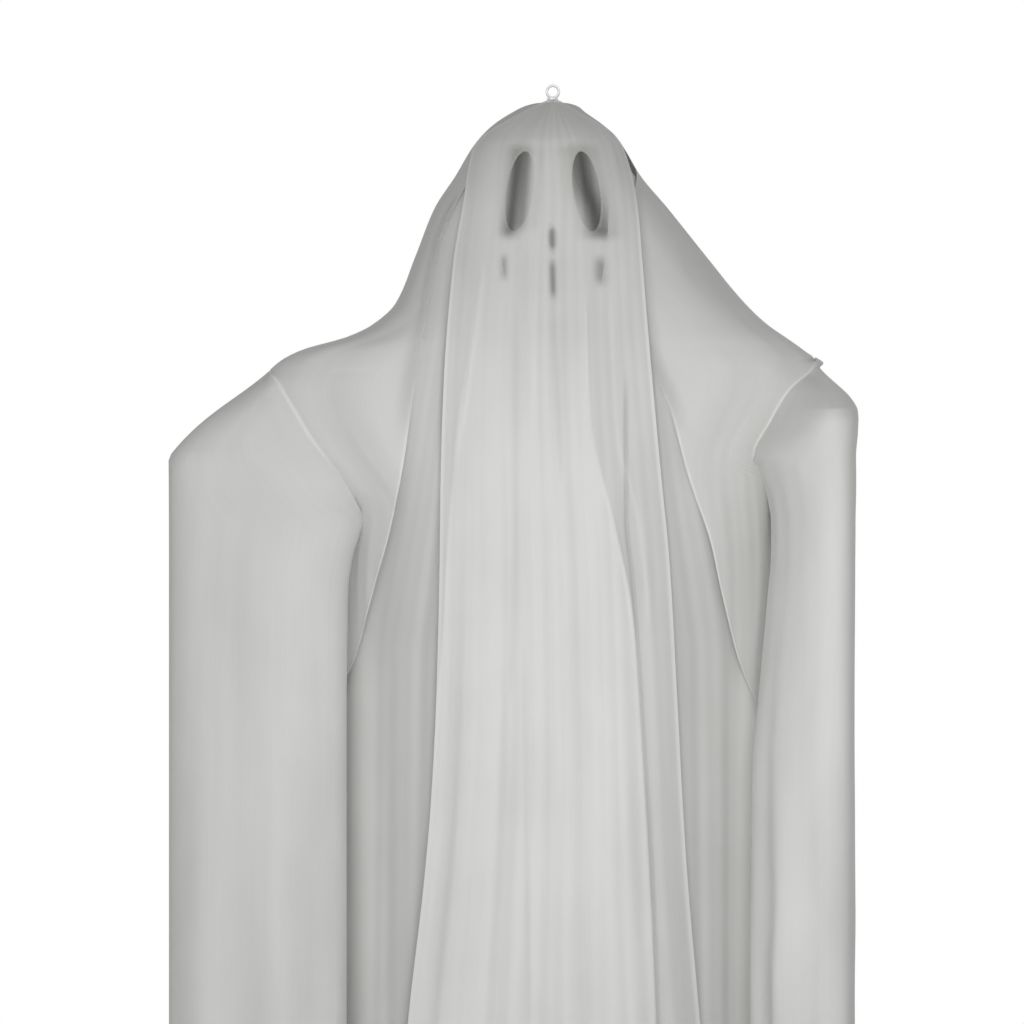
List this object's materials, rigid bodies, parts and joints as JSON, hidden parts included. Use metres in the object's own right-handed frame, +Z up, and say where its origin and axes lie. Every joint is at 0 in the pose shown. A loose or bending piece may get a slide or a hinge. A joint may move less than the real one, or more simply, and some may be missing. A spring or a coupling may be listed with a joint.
{
  "type": "hanging ghost decoration",
  "caption": "Hanging ghost figure: moulded face under sheer white gauze, long gown, cape and wide sleeves on a swivel eye, with two arms that swing forward.",
  "frame": {"origin": "inside top of the hanging eye, where a hook or cord bears", "axes": "+Z up, the face looks along -Y, +X is to the right as seen from the front"},
  "size_m": [0.7863, 0.3209, 1.518],
  "materials": {
    "gauze": "sheer off-white gauze, loosely woven, gathered in fine vertical pleats",
    "gown": "plain off-white cloth, matte",
    "mask": "moulded off-white plastic, satin",
    "lining": "black mesh cloth",
    "moulding": "black moulded plastic",
    "tube": "drawn aluminium",
    "steel": "zinc-plated steel"
  },
  "bodies": {
    "hanger": {"swivel_eye": "steel", "swivel_washer": "steel", "swivel_lock_nut": "steel"},
    "figure": {"crown_cap": "moulding", "crown_pin": "steel", "face_shell": "mask", "rear_head_shell": "mask", "face_lining": "lining", "neck_plug": "moulding", "neck_screw_front": "steel", "neck_screw_back": "steel", "spine_tube": "tube", "hub_front": "moulding", "hub_back": "moulding", "shoulder_bar": "tube", "hub_screw_1": "steel", "hub_screw_2": "steel", "hub_screw_3": "steel", "hub_screw_4": "steel", "hub_nut_1": "steel", "hub_nut_2": "steel", "hub_nut_3": "steel", "hub_nut_4": "steel", "left_clevis": "moulding", "left_clevis_pin": "steel", "left_pivot_bolt": "steel", "left_wing_nut": "steel", "left_upper_washer": "steel", "left_lower_washer": "steel", "right_clevis": "moulding", "right_clevis_pin": "steel", "right_pivot_bolt": "steel", "right_wing_nut": "steel", "right_upper_washer": "steel", "right_lower_washer": "steel", "gown": "gown", "cape": "gauze", "left_side_fall": "gauze", "right_side_fall": "gauze", "face_veil": "gauze"},
    "left_arm": {"left_knuckle": "moulding", "left_forearm_rod": "tube", "left_forearm_ball": "moulding", "left_sleeve": "gauze"},
    "right_arm": {"right_knuckle": "moulding", "right_forearm_rod": "tube", "right_forearm_ball": "moulding", "right_sleeve": "gauze"}
  },
  "joints": [
    {"name": "hanger_swivel", "type": "hinge", "parent": "hanger", "child": "figure", "pos_m": [0, 0, 0], "axis": [0, 0, 1], "continuous": true},
    {"name": "left_elbow", "type": "hinge", "parent": "figure", "child": "left_arm", "pos_m": [-0.293, 0, -0.326], "axis": [0, 0, 1], "range_deg": [-35, 65], "deforming": ["left_sleeve"]},
    {"name": "right_elbow", "type": "hinge", "parent": "figure", "child": "right_arm", "pos_m": [0.293, 0, -0.326], "axis": [0, 0, -1], "range_deg": [-95, 5], "deforming": ["right_sleeve"]}
  ]
}
